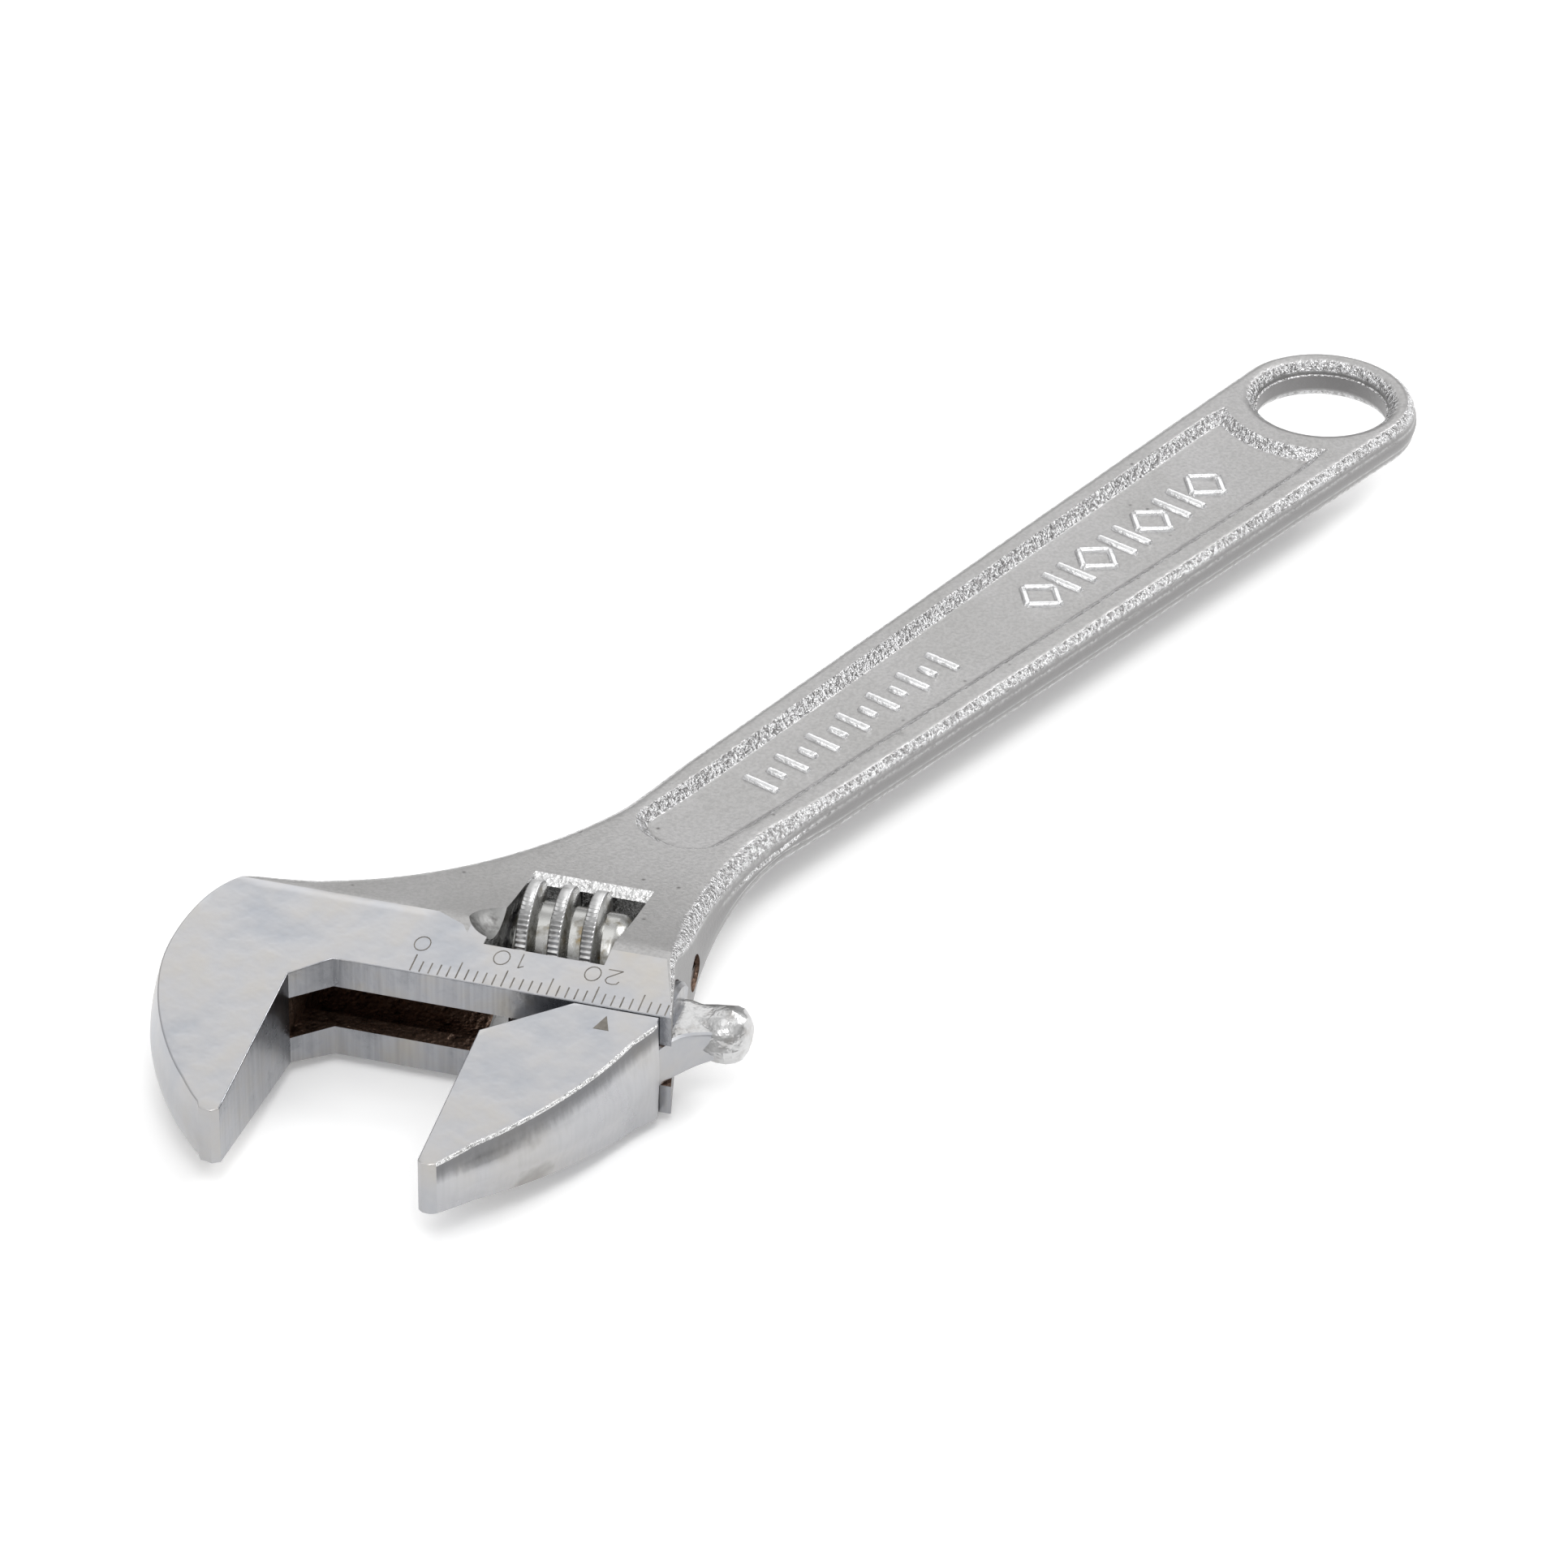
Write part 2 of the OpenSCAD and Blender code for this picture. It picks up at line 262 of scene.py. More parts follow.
def platedForging(look):
    # nickel-chrome plate over a shot-blasted drop forging: a silky grey with a fine sandy grain;
    # where the surface rounds over it is speckled with painted highlights and painted shade, and upright
    # faces get painted shade
    made, tree, shader, place = newMaterial("nickel chrome plate on blasted forging", look["colour"],
                                            look["roughness"])
    grain = addNode(tree, "TexNoise", {"Scale": 1000 / look["grainMm"], "Detail": 3.0, "Roughness": 0.6},
                    {"Vector": place})
    cloud = addNode(tree, "TexNoise", {"Scale": 1000 / look["cloudMm"], "Detail": 3.0, "Roughness": 0.55},
                    {"Vector": place})
    pits = addNode(tree, "TexVoronoi", {"Scale": 1000 / look["pitMm"], "Randomness": 1.0}, {"Vector": place})
    normal = addNode(tree, "NewGeometry").outputs["Normal"]
    height = addNode(tree, "SeparateXYZ", links={0: normal}).outputs["Z"]
    level = addNode(tree, "Math", {"operation": "ABSOLUTE"}, {0: height}).outputs[0]
    wobble = addNode(tree, "Math", {"operation": "MULTIPLY_ADD", 1: 0.1},
                     {0: grain.outputs["Fac"], 2: level}).outputs[0]
    band = addNode(tree, "ValToRGB", {"stops": [(0.3, 0.0), (0.48, 1.0), (0.92, 1.0), (1.0, 0.0)]},
                   {"Fac": wobble}).outputs["Color"]
    tint = addNode(tree, "ValToRGB", {"stops": [(0.3, look["dark"]), (0.7, look["colour"])]},
                   {"Fac": cloud.outputs["Fac"]}).outputs["Color"]
    specks = addNode(tree, "ValToRGB", {"stops": [(0.0, look["pitColour"]), (0.09, "#ffffff")]},
                     {"Fac": pits.outputs["Distance"]}).outputs["Color"]
    sand = addNode(tree, "ValToRGB", {"stops": [(0.38, look["sand"]), (0.62, 1.0)]},
                   {"Fac": grain.outputs["Fac"]}).outputs["Color"]
    sandy = addNode(tree, "Mix", multiply, {6: tint, 7: sand})
    tinted = addNode(tree, "Mix", multiply, {6: sandy.outputs[2], 7: specks})
    # painted shade: upright faces, which mirror the shadowed floor, take the darker side colour
    upright = addNode(tree, "ValToRGB", {"stops": [(0.15, 1.0), (0.6, 0.0)]},
                      {"Fac": level}).outputs["Color"]
    # painted highlight and painted shade: in the rounded band the colour jumps between bright sparkles and
    # dark pits
    lumps = addNode(tree, "TexNoise", {"Scale": 1000 / look["lumpMm"], "Detail": 2.0, "Roughness": 0.7},
                    {"Vector": place})
    glint = addNode(tree, "ValToRGB", {"stops": [(0.4, look["hollowColour"]), (0.56, look["edgeHighlightColour"])]},
                    {"Fac": lumps.outputs["Fac"]}).outputs["Color"]
    sideShaded = addNode(tree, "Mix", {"data_type": "RGBA", 7: linear(look["sideShadeColour"])},
                    {0: upright, 6: tinted.outputs[2]})
    bright = addNode(tree, "Mix", {"data_type": "RGBA"}, {0: band, 6: sideShaded.outputs[2], 7: glint})
    tree.links.new(bright.outputs[2], shader.inputs["Base Color"])
    rough = addNode(tree, "MapRange", {3: look["roughness"], 4: look["edgeRoughness"]}, {0: band})
    tree.links.new(rough.outputs[0], shader.inputs["Roughness"])
    fine = addNode(tree, "Bump", {"Strength": look["grainBump"], "Distance": 0.00012},
                   {"Height": grain.outputs["Fac"]})
    strength = addNode(tree, "Math", {"operation": "MULTIPLY", 1: look["edgeBump"]}, {0: band}).outputs[0]
    coarse = addNode(tree, "Bump", {"Distance": 0.001},
                     {"Height": lumps.outputs["Fac"], "Normal": fine.outputs[0], "Strength": strength})
    tree.links.new(coarse.outputs[0], shader.inputs["Normal"])
    return made


def groundSteel(look):
    # face ground flat on a belt and plated: even satin with faint clouds and hair lines
    made, tree, shader, place = newMaterial(look["name"], look["colour"], look["roughness"])
    cloud = addNode(tree, "TexNoise", {"Scale": 1000 / look["cloudMm"], "Detail": 4.0, "Roughness": 0.6},
                    {"Vector": place})
    turned = addNode(tree, "Mapping",
                     {"Rotation": (0, 0, math.radians(look["lineTurn"])), "Scale": look["lineStretch"]},
                     {"Vector": place})
    hair = addNode(tree, "TexNoise", {"Scale": 1000 / look["lineMm"], "Detail": 2.0, "Roughness": 0.5},
                   {"Vector": turned.outputs[0]})
    tint = addNode(tree, "ValToRGB",
                   {"stops": [(0.3, look["dark"]), (0.5, look["colour"]), (0.72, look["warm"])]},
                   {"Fac": cloud.outputs["Fac"]}).outputs["Color"]
    streak = addNode(tree, "ValToRGB", {"stops": [(0.25, look["streak"]), (0.6, 1.0)]},
                     {"Fac": hair.outputs["Fac"]}).outputs["Color"]
    mixed = addNode(tree, "Mix", multiply, {6: tint, 7: streak})
    normal = addNode(tree, "NewGeometry").outputs["Normal"]
    height = addNode(tree, "SeparateXYZ", links={0: normal}).outputs["Z"]
    level = addNode(tree, "Math", {"operation": "ABSOLUTE"}, {0: height}).outputs[0]
    standing = addNode(tree, "ValToRGB", {"stops": [(0.2, look["sideShade"]), (0.7, 1.0)]},
                       {"Fac": level}).outputs["Color"]
    shaded = addNode(tree, "Mix", multiply, {6: mixed.outputs[2], 7: standing})
    colour = shaded.outputs[2]
    if "hollow" in look:
        # how far below the sloping face a point of the side lies, in metres, then as a share of the band
        perMetre = 1000 / look["hollowMm"]
        fall = addNode(tree, "VectorMath", {"operation": "DOT_PRODUCT", 1: look["faceSlope"]},
                       {0: place}).outputs["Value"]
        upright = addNode(tree, "SeparateXYZ", links={0: place}).outputs["Z"]
        below = addNode(tree, "Math", {"operation": "SUBTRACT"}, {0: fall, 1: upright}).outputs[0]
        depth = addNode(tree, "Math",
                        {"operation": "MULTIPLY_ADD", 1: perMetre, 2: look["faceStart"] * perMetre},
                        {0: below}).outputs[0]
        streaky = addNode(tree, "Math", {"operation": "MULTIPLY_ADD", 1: 0.15},
                          {0: hair.outputs["Fac"], 2: depth}).outputs[0]
        # painted shade: the band just under the jaw's top edge is darkened for the dark its concave hollow
        # mirrors, streaked by the real brushing lines
        brushedHollowShade = addNode(tree, "ValToRGB",
                          {"stops": [(0.3, look["hollow"]), (0.44, look["hollow"] + 0.1), (0.7, 1.0)]},
                          {"Fac": streaky}).outputs["Color"]
        hollowShaded = addNode(tree, "Mix", multiply, {6: colour, 7: brushedHollowShade})
        smear = addNode(tree, "ValToRGB", {"stops": [(0.6, 1.0), (0.68, 0.72)]},
                        {"Fac": cloud.outputs["Fac"]}).outputs["Color"]
        smeared = addNode(tree, "Mix", multiply, {6: hollowShaded.outputs[2], 7: smear})
        colour = smeared.outputs[2]
    tree.links.new(colour, shader.inputs["Base Color"])
    rough = addNode(tree, "MapRange", {3: look["roughness"] - 0.05, 4: look["roughness"] + 0.08},
                    {0: cloud.outputs["Fac"]})
    tree.links.new(rough.outputs[0], shader.inputs["Roughness"])
    lines = addNode(tree, "Bump", {"Strength": look["lineBump"], "Distance": 0.00005},
                    {"Height": hair.outputs["Fac"]})
    waves = addNode(tree, "Bump", {"Strength": look["waveBump"], "Distance": 0.0006},
                    {"Height": cloud.outputs["Fac"], "Normal": lines.outputs[0]})
    tree.links.new(waves.outputs[0], shader.inputs["Normal"])
    return made


def roughPlate(look):
    # plating over the raw forged skin: bright, lumpy, with sharp little sparkles
    made, tree, shader, place = newMaterial(look["name"], look["colour"], look["roughness"])
    lumps = addNode(tree, "TexNoise", {"Scale": 1000 / look["lumpMm"], "Detail": 3.0, "Roughness": 0.65},
                    {"Vector": place})
    cells = addNode(tree, "TexVoronoi", {"Scale": 1000 / look["cellMm"]}, {"Vector": place})
    grime = addNode(tree, "ValToRGB", {"stops": [(0.3, look["grime"]), (0.48, look["colour"])]},
                    {"Fac": lumps.outputs["Fac"]}).outputs["Color"]
    tree.links.new(grime, shader.inputs["Base Color"])
    first = addNode(tree, "Bump", {"Strength": look["lumpBump"], "Distance": 0.0005},
                    {"Height": lumps.outputs["Fac"]})
    second = addNode(tree, "Bump", {"Strength": look["cellBump"], "Distance": 0.0002},
                     {"Height": cells.outputs["Distance"], "Normal": first.outputs[0]})
    tree.links.new(second.outputs[0], shader.inputs["Normal"])
    return made


forgedSkin = platedForging({
    # the side colour is painted shade on upright faces
    "colour": "#b6b5b5", "dark": "#adacab", "sideShadeColour": "#8b8a8a", "roughness": 0.42,
    # the edge colours are the painted sparkle highlight and the painted pit shade on rounded edges
    "edgeHighlightColour": "#dfdfe0", "hollowColour": "#a5a4a4", "edgeRoughness": 0.2, "pitColour": "#8a8886",
    "sand": 0.86,
    "grainMm": 0.45,  # shot marks are finer, drawn as coarse as they need to show
    "cloudMm": 14.0, "pitMm": 3.5, "lumpMm": 0.52, "grainBump": 0.5, "edgeBump": 0.75})
groundFace = groundSteel({
    "name": "plated belt-ground steel",
    "colour": "#bcbcbe", "dark": "#afb2b8", "warm": "#c0bcb6", "roughness": 0.3, "cloudMm": 9.0,
    "lineMm": 0.5, "lineTurn": -headTurn, "lineStretch": (1.0, 0.1, 1.0), "streak": 0.98,
    "lineBump": 0.03, "waveBump": 0.25, "sideShade": 0.76})
jawSide = groundSteel({
    "name": "plated jaw side with a brushed hollow",
    "colour": "#c0c0c2", "dark": "#b8b9bd", "warm": "#c2bfbb", "roughness": 0.27, "cloudMm": 12.0,
    "lineMm": 0.5, "lineTurn": 0, "lineStretch": (1.0, 1.0, 0.08), "streak": 0.93,
    # hollow sets how dark the painted shade in the band under the top edge is
    "lineBump": 0.1, "waveBump": 0.2, "sideShade": 0.8, "hollow": 0.42, "hollowMm": 4.0,
    "faceSlope": (-0.1013, -0.043, 0), "faceStart": 0.0226})  # the ground face's slope and height at zero
# milled faces take a darker grey: partly their own finish, partly painted shade for the upright jaw and
# throat faces that mirror the shadowed floor
milledFace = groundSteel({
    "name": "plated milled steel",
    "colour": "#a5a6aa", "dark": "#8d8f93", "warm": "#a9a6a2", "roughness": 0.27, "cloudMm": 5.0,
    "lineMm": 0.5, "lineTurn": -headTurn, "lineStretch": (1.0, 1.0, 0.03), "streak": 0.82,
    "lineBump": 0.2, "waveBump": 0.2, "sideShade": 0.9})
rawPlate = roughPlate({
    "name": "bright plate on raw forged skin", "colour": "#c2c2c2", "grime": "#acaaa8", "roughness": 0.3,
    "lumpMm": 1.8, "cellMm": 0.6, "lumpBump": 0.4, "cellBump": 0.12})
raisedPlate = roughPlate({
    "name": "bright plate on raised marks", "colour": "#e4e4e5", "grime": "#c9c9c9", "roughness": 0.24,
    "lumpMm": 0.9, "cellMm": 0.6, "lumpBump": 0.15, "cellBump": 0.08})
# painted shade: a dark, dull grey on the scoops at the window's end, standing in for the shade that falls
# there
shadedCornerPlate = roughPlate({
    "name": "dark dull plate painted as shade in the window's corners",
    "colour": "#8f8f8e", "grime": "#5c5b5a", "roughness": 0.5,
    "lumpMm": 2.0, "cellMm": 0.6, "lumpBump": 0.15, "cellBump": 0.1})
windowWall = roughPlate({
    "name": "bright plate on the window wall", "colour": "#d2d2d2", "grime": "#a5a5a4", "roughness": 0.25,
    "lumpMm": 0.8, "cellMm": 0.5, "lumpBump": 0.6, "cellBump": 0.6})
slotSteel = roughPlate({
    "name": "oily unplated bore steel", "colour": "#8a7466", "grime": "#41322a", "roughness": 0.42,
    "lumpMm": 1.6, "cellMm": 0.5, "lumpBump": 0.5, "cellBump": 0.6})
print("materials ready")

bodyLook = {
    "wallRings": (-0.8, -0.55, -0.28, 0.0, 0.28, 0.55, 0.8),  # heights up the side, as a share of it
    "roundSteps": 5,
    "handleRound": 1.5, "headRound": 2.4, "groundRound": 0.25, "milledRound": 0.14,
    "backDraft": 1.1, "handleDraft": 0.25,
    "groundCorner": ((0.5, 9.8), (3.2, 8.6), (4.6, 6.6)),  # where the ground face steps round the window
    "stripV": 8.8,
    "boreR": 5.1, "slotHalfT": 2.6, "slotStartU": -12.45, "pinHoleR": 2.05, "pinHoleU": 1.9,
    "windowU": (6.2, 19.5), "windowV": 6.2, "scoop": (7.5, 11.2, 9.9), "scoopR": 5.0, "panelHollowR": 12.4,
    "beyond": 40,  # cutters run this far along u, past the head's side
}


def gathered(stretches):
    # one list each of points, edge roundings, drafts and finishes, from stretches of an outline
    points, rounds, drafts, finishes = [], [], [], []
    for part, rounding, draft, finish in stretches:
        points += part
        rounds += [rounding] * len(part)
        drafts += [draft] * len(part)
        finishes += [finish] * len(part)
    return points, rounds, drafts, finishes


def bodyOutline():
    # stretches of (points, edge rounding, how far the edge lies inside the mid-plane outline, finish)
    look = bodyLook
    tipV, faceU = -25.6, -12.2
    neck = (handle["neckX"], -handle["neckHalfW"])
    handleRound, headRound = look["handleRound"], look["headRound"]
    groundRound, milledRound = look["groundRound"], look["milledRound"]
    stretches = [
        (arc(handle["tailR"], range(90, 270, 5)), handleRound, look["handleDraft"], onForged),
        (curve((4, -11.3), (40, -10.7), (80, -9.6), neck, 60), handleRound, look["handleDraft"], onForged),
        (curve(neck, (129, -8.4), jawPoint(-5.5, 17), jawPoint(-20.4, 12.6), 34), headRound, 0.3, onForged),
        (jawCurve((-20.4, 12.6), (-25.4, 10.4), (-27, 4.5), (-27, -1.5), 16), groundRound, look["backDraft"],
         onGround),
        (jawCurve((-27, -1.5), (-27, -10.5), (-20.3, -21.5), (-14.4, tipV + 0.2), 24), groundRound, 0.9,
         onGround),
        (jawLine((-14.4, tipV + 0.2), (-13, tipV), 2), milledRound, 0.1, onGround),
        (jawLine((-13, tipV), (faceU, tipV + 0.6), 2), milledRound, 0.0, onGround),
        (jawLine((faceU, tipV + 0.6), (faceU, -3.4), 12), milledRound, 0.0, onMilled),
        (jawLine((faceU, -3.4), (-8.4, 0), 4), milledRound, 0.0, onMilled),
        (jawLine((-8.4, 0), (28.7, 0), 20), milledRound, 0.0, onMilled),
        (jawLine((28.7, 0), (26.5, 8.9), 6), groundRound, 0.0, onForged),
        (jawLine((26.5, 8.9), (26.4, 16), 6), headRound * 0.6, 0.0, onForged),
        (curve(jawPoint(26.4, 16), jawPoint(25.4, 28), (119, 8.6), (110, 8.9), 34), headRound, 0.3, onForged),
        (curve((110, 8.9), (76, 9.8), (40, 10.7), (4, 11.3), 56), handleRound, look["handleDraft"], onForged),
    ]
    points, rounds, drafts, finishes = gathered(stretches)
    smoothRounds, smoothDrafts = evened(rounds, 3), evened(drafts, 4)
    for i in range(len(points)):
        if finishes[i] == onMilled or rounds[i] == milledRound:  # milled corners stay crisp
            smoothRounds[i], smoothDrafts[i] = rounds[i], drafts[i]
    return points, smoothRounds, smoothDrafts, finishes


def makeBody():
    look = bodyLook
    points, rounds, drafts, finishes = bodyOutline()
    directions = outwards(points)
    arcs = [90 * (1 - k / look["roundSteps"]) for k in range(look["roundSteps"] + 1)]
    rings = [(-1, a) for a in arcs] + [(0, w) for w in look["wallRings"]] + [(1, a) for a in reversed(arcs)]

    def ringPoint(i, k):
        side, value = rings[k]
        r, draft = rounds[i], drafts[i]
        if side:
            bend = math.radians(value)
            spot = points[i] - directions[i] * (draft + r * (1 - math.cos(bend)))
            return Vector((spot.x, spot.y, side * (faceHalfT(spot) - r + r * math.sin(bend))))
        spot = points[i] - directions[i] * (draft * abs(value) ** 1.7)
        return Vector((spot.x, spot.y, value * (faceHalfT(spot) - r)))

    bm = bmesh.new()
    first, last = loft(bm, len(points), len(rings), ringPoint, lambda i, k: finishes[i])
    caps = capEnds(bm, first, last)
    turned = jawPlace.to_3x3()
    for v in [throat["ridgeV"] + 1.6 * n for n in range(34)] + [-16.0, -8.0, 0.0, 5.0]:
        caps = cutAcross(bm, caps, jawPoint(0, v), turned @ Vector((0, 1, 0)))
    for u in [-24.0 + 4 * n for n in range(13)]:
        caps = cutAcross(bm, caps, jawPoint(u, 0), turned @ Vector((1, 0, 0)))
    corner = look["groundCorner"]
    for a, b in list(zip(corner, corner[1:])) + [((0, look["stripV"]), (1, look["stripV"]))]:
        along = Vector((b[0] - a[0], b[1] - a[1], 0)).normalized()
        caps = cutAcross(bm, caps, jawPoint(*a), turned @ Vector((-along.y, along.x, 0)))
    for face in caps:
        for vert in face.verts:
            vert.co.z = math.copysign(faceHalfT(vert.co), vert.co.z)
        u, v = (jawPlaceBack @ face.calc_center_median()).xy
        limit = throat["ridgeV"] if u < corner[0][0] else look["stripV"]
        for (startU, startV), (endU, endV) in zip(corner, corner[1:]):
            if startU <= u < endU:
                limit = startV + (endV - startV) * (u - startU) / (endU - startU)
        face.material_index = onGround if v < limit else onForged
    bmesh.ops.triangulate(bm, faces=[f for f in bm.faces if len(f.verts) > 4])
    return finished("forgedBody", bm, [forgedSkin, groundFace, milledFace])


def cutter(name, bm, material, place=jawPlace):
    bm.transform(place)
    return finished(name, bm, [material])


def boxCutter(name, low, high, material):
    bm = bmesh.new()
    bmesh.ops.create_cube(bm, size=1.0)
    low, high = Vector(low), Vector(high)
    bmesh.ops.scale(bm, vec=high - low, verts=bm.verts)
    bmesh.ops.translate(bm, vec=(low + high) / 2, verts=bm.verts)
    return cutter(name, bm, material)


def lathe(profile, steps, place):
    # profile of (along, radius) turned round the axis
    bm = bmesh.new()
    verts = [bm.verts.new((radius, 0, along)) for along, radius in profile]
    edges = [bm.edges.new(pair) for pair in zip(verts, verts[1:])]
    bmesh.ops.spin(bm, geom=verts + edges, cent=(0, 0, 0), axis=(0, 0, 1), angle=2 * math.pi, steps=steps,
                   use_merge=True)
    bmesh.ops.remove_doubles(bm, verts=bm.verts, dist=0.0005)
    bm.transform(place)
    return bm


def latheCutter(name, profile, v, steps):
    bm = lathe(profile, steps, Matrix.Translation((0, v, 0)) @ alongU)
    return cutter(name, bm, slotSteel)


def panelOutline():
    points = arc(bodyLook["panelHollowR"], range(36, -37, -4))
    points += curve((12.6, -7.75), (50, -7.3), (80, -5.9), (119.6, -5.3), 60)
    points += curve((119.6, -5.3), (125.3, -5.3), (125.3, 5.3), (119.6, 5.3), 20)
    points += curve((119.6, 5.3), (80, 5.9), (50, 7.3), (12.6, 7.75), 60)
    return points


def panelCutter(side):
    # sloped walls with a small radius at the rim and another at the floor
    profile = [(-0.6, -6.0), (-0.55, -0.12), (-0.35, 0.0), (-0.1, 0.1), (0.12, 0.28), (0.85, 0.92),
               (1.1, 1.07), (1.45, panelDepth)]  # inset and depth
    points = panelOutline()
    directions = outwards(points)

    def ringPoint(i, k):
        inset, depth = profile[k]
        spot = points[i] - directions[i] * inset
        return Vector((spot.x, spot.y, side * (faceHalfT(spot) - depth)))

    bm = bmesh.new()
    first, last = loft(bm, len(points), len(profile), ringPoint)
    capEnds(bm, first)
    floor = capEnds(bm, last)
    for x in [18.0 + 6 * n for n in range(14)] + [102.0 + 2 * n for n in range(12)]:
        floor = cutAcross(bm, floor, Vector((x, 0, 0)), Vector((1, 0, 0)))
    for face in floor:
        for vert in face.verts:
            vert.co.z = side * (faceHalfT(vert.co) - panelDepth)
    bmesh.ops.triangulate(bm, faces=[f for f in bm.faces if len(f.verts) > 4])
    return finished("panelTool", bm, [forgedSkin])


def bodyTools():
    look, far = bodyLook, bodyLook["beyond"]
    boreR, pinR, half = look["boreR"], look["pinHoleR"], look["slotHalfT"]
    rim = [(0.85, handle["holeR"]), (0.95, 7.95), (1.15, 8.0), (1.6, 8.12), (2.0, 8.4), (2.3, 8.8),
           (2.48, 9.35), (2.7, 10.4), (9, 10.4)]  # a thin ledge, then a rounded rim
    hole = [(-9, 0)] + [(-along, radius) for along, radius in reversed(rim)] + rim + [(9, 0)]
    return [
        cutter("hangTool", lathe(hole, 96, Matrix.Identity(4)), forgedSkin, Matrix.Identity(4)),
        panelCutter(1),
        panelCutter(-1),
        latheCutter("boreTool", [(-12.6, 0), (-12.6, boreR), (far, boreR), (far, 0)], rackLook["rackV"], 64),
        boxCutter("slotTool", (look["slotStartU"], -3.5, -half), (far, rackLook["rackV"], half), slotSteel),
        windowCutter(),
        latheCutter("pinTool", [(look["pinHoleU"], 0), (look["pinHoleU"], pinR), (far, pinR), (far, 0)],
                    rackLook["wormV"], 40),
        scoopCutter(1),
        scoopCutter(-1),
    ]


def windowCutter():
    # straight through near the throat, rounded to the worm's radius at the back
    rim = faceHalfT(jawPoint(13, 23.5))
    near, high = bodyLook["windowV"], 12
    back = [(24.5, high), (24.5, rim + 0.1), (23.0, rim - 0.9), (23.2, 2.9), (23.65, 2.2), (24.0, 1.2),
            (24.15, 0.0)]
    profile = [(near, -high)] + [(v, -z) for v, z in back[:-1]] + list(reversed(back)) + [(near, high)]

    def ringPoint(i, k):
        return Vector((bodyLook["windowU"][k],) + profile[i])

    bm = bmesh.new()
    first, last = loft(bm, len(profile), 2, ringPoint)
    capEnds(bm, first, last)
    return cutter("windowTool", bm, windowWall)


def scoopCutter(side):
    u, v, z = bodyLook["scoop"]
    bm = bmesh.new()
    bmesh.ops.create_icosphere(bm, subdivisions=5, radius=bodyLook["scoopR"])
    bmesh.ops.translate(bm, vec=(u, v, side * z), verts=bm.verts)
    return cutter("scoopTool", bm, shadedCornerPlate)


body = evenNormals(carved(makeBody(), bodyTools()), 32)
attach(body, "body")
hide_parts("body")
print("forging:", len(body.data.polygons), "faces")

jawLook = {"outerRound": 0.3, "innerRound": 0.14, "draft": 1.0}


def makeSlidingJaw():
    look, innerRound = jawLook, jawLook["innerRound"]
    faceU, under = 9.9, -0.15  # the jaw's face, and its underside just clear of the throat
    stretches = [
        (curve((12, -27.3), (17.9, -22.7), (26.2, -11.2), (27.8, -1.2), 40), look["outerRound"],
         look["draft"], onSide),
        (line((27.8, -1.2), (27.4, under), 2), innerRound, 0.15, onGround),
        (line((27.4, under), (18.2, under), 8), innerRound, 0.0, onMilled),
        (line((18.2, under), (faceU, -6.7), 8), innerRound, 0.0, onMilled),
        (line((faceU, -6.7), (faceU, -27), 14), innerRound, 0.0, onMilled),
        (line((faceU, -27), (10.4, -27.5), 2), innerRound, 0.0, onGround),
        (line((10.4, -27.5), (11.2, -27.6), 2), innerRound, 0.05, onGround),
        (line((11.2, -27.6), (12, -27.3), 2), innerRound, 0.1, onGround),
    ]
    points, rounds, drafts, finishes = gathered(stretches)
    count = len(stretches[0][0])
    for i in range(count):  # the side's bulge fades towards both ends of the curve
        drafts[i] *= min(1.0, (i + 0.5) / 8, (count - i) / 5)
    directions = outwards(points)
    arcs = [90, 60, 30, 0]
    walls = [-0.94, -0.8, -0.6, -0.4, -0.2, 0.0, 0.2, 0.4, 0.6, 0.8, 0.94]
    rings = [(-1, a) for a in arcs] + [(0, w) for w in walls] + [(1, a) for a in reversed(arcs)]

    def ringPoint(i, k):
        side, value = rings[k]
        r, draft = rounds[i], drafts[i]
        if side:
            bend = math.radians(value)
            spot = points[i] - directions[i] * (draft + r * (1 - math.cos(bend)))
            return Vector((spot.x, spot.y, side * (groundHalfT(spot.y) - r + r * math.sin(bend))))
        spot = points[i] - directions[i] * (draft * (0.5 - 0.5 * math.cos(math.pi * value)))
        return Vector((spot.x, spot.y, value * (groundHalfT(spot.y) - r)))

    def ringFinish(i, k):
        rounded = rings[k][0] and rings[k][1] > 0
        return onEdge if finishes[i] == onSide and rounded else finishes[i]

    bm = bmesh.new()
    first, last = loft(bm, len(points), len(rings), ringPoint, ringFinish)
    for face in capEnds(bm, first, last):
        face.material_index = onGround
    bmesh.ops.triangulate(bm, faces=[f for f in bm.faces if len(f.verts) > 4])
    bm.transform(jawPlace)
    jaw = finished("slidingJaw", bm, [forgedSkin, groundFace, milledFace, windowWall, jawSide])
    return carved(jaw, [makeWeb(), makeRack()], "UNION")


